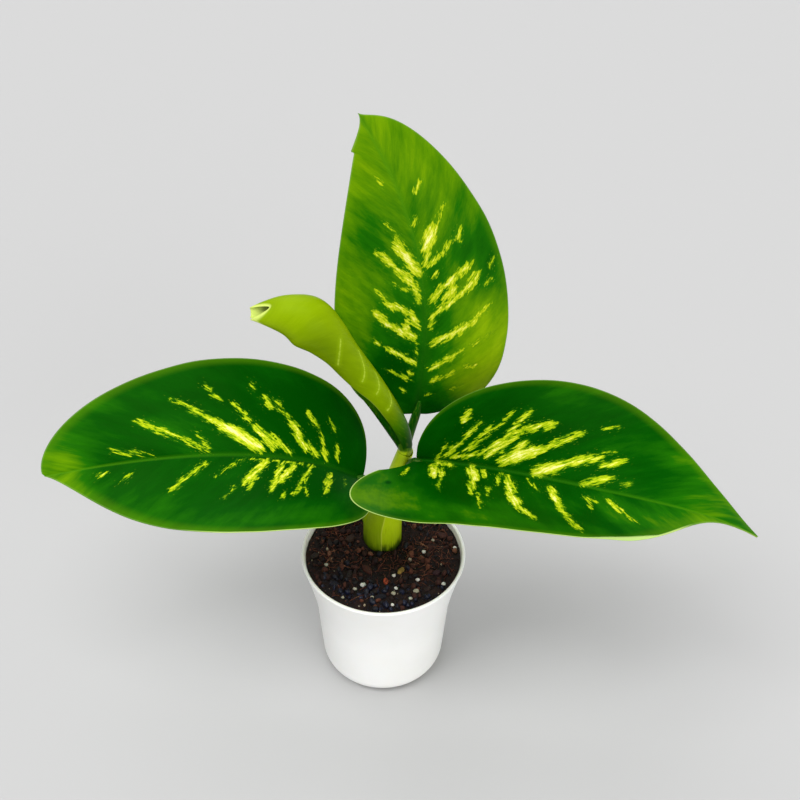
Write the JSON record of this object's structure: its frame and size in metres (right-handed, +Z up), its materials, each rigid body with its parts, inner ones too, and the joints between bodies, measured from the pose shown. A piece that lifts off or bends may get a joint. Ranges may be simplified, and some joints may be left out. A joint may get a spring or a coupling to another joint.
{
  "type": "potted dieffenbachia",
  "caption": "Young dumb cane plant in a flared white plastic pot: broad cream-streaked green leaves held out to each side and upright, with a newest leaf still rolled, in a dark bark mix.",
  "frame": {"origin": "centre of the pot's underside, on the surface it stands on", "axes": "+Z up; the two side leaves reach along -X and +X; -Y is the front, where the pot's mix shows most"},
  "size_m": [0.413, 0.1376, 0.3637],
  "materials": {
    "pot_plastic": "satin",
    "potting_mix": "matte",
    "stem": "satin",
    "roots": "matte",
    "leaf": "satin",
    "young_leaf": "satin",
    "perlite": "matte",
    "bark": "matte"
  },
  "bodies": {
    "root": {"pot": "pot_plastic", "potting_mix": "potting_mix", "stem": "stem", "roots": "roots", "leaf_left": "leaf", "leaf_right": "leaf", "leaf_back": "leaf", "leaf_young": "young_leaf", "perlite_01": "perlite", "perlite_02": "perlite", "perlite_03": "perlite", "perlite_04": "perlite", "perlite_05": "perlite", "perlite_06": "perlite", "perlite_07": "perlite", "perlite_08": "perlite", "perlite_09": "perlite", "perlite_10": "perlite", "perlite_11": "perlite", "perlite_12": "perlite", "perlite_13": "perlite", "perlite_14": "perlite", "perlite_15": "perlite", "perlite_16": "perlite", "bark_chip_01": "bark", "bark_chip_02": "bark", "bark_chip_03": "bark", "bark_chip_04": "bark", "bark_chip_05": "bark", "bark_chip_06": "bark", "bark_chip_07": "bark", "bark_chip_08": "bark", "bark_chip_09": "bark", "bark_chip_10": "bark", "bark_chip_11": "bark", "bark_chip_12": "bark"}
  },
  "joints": []
}
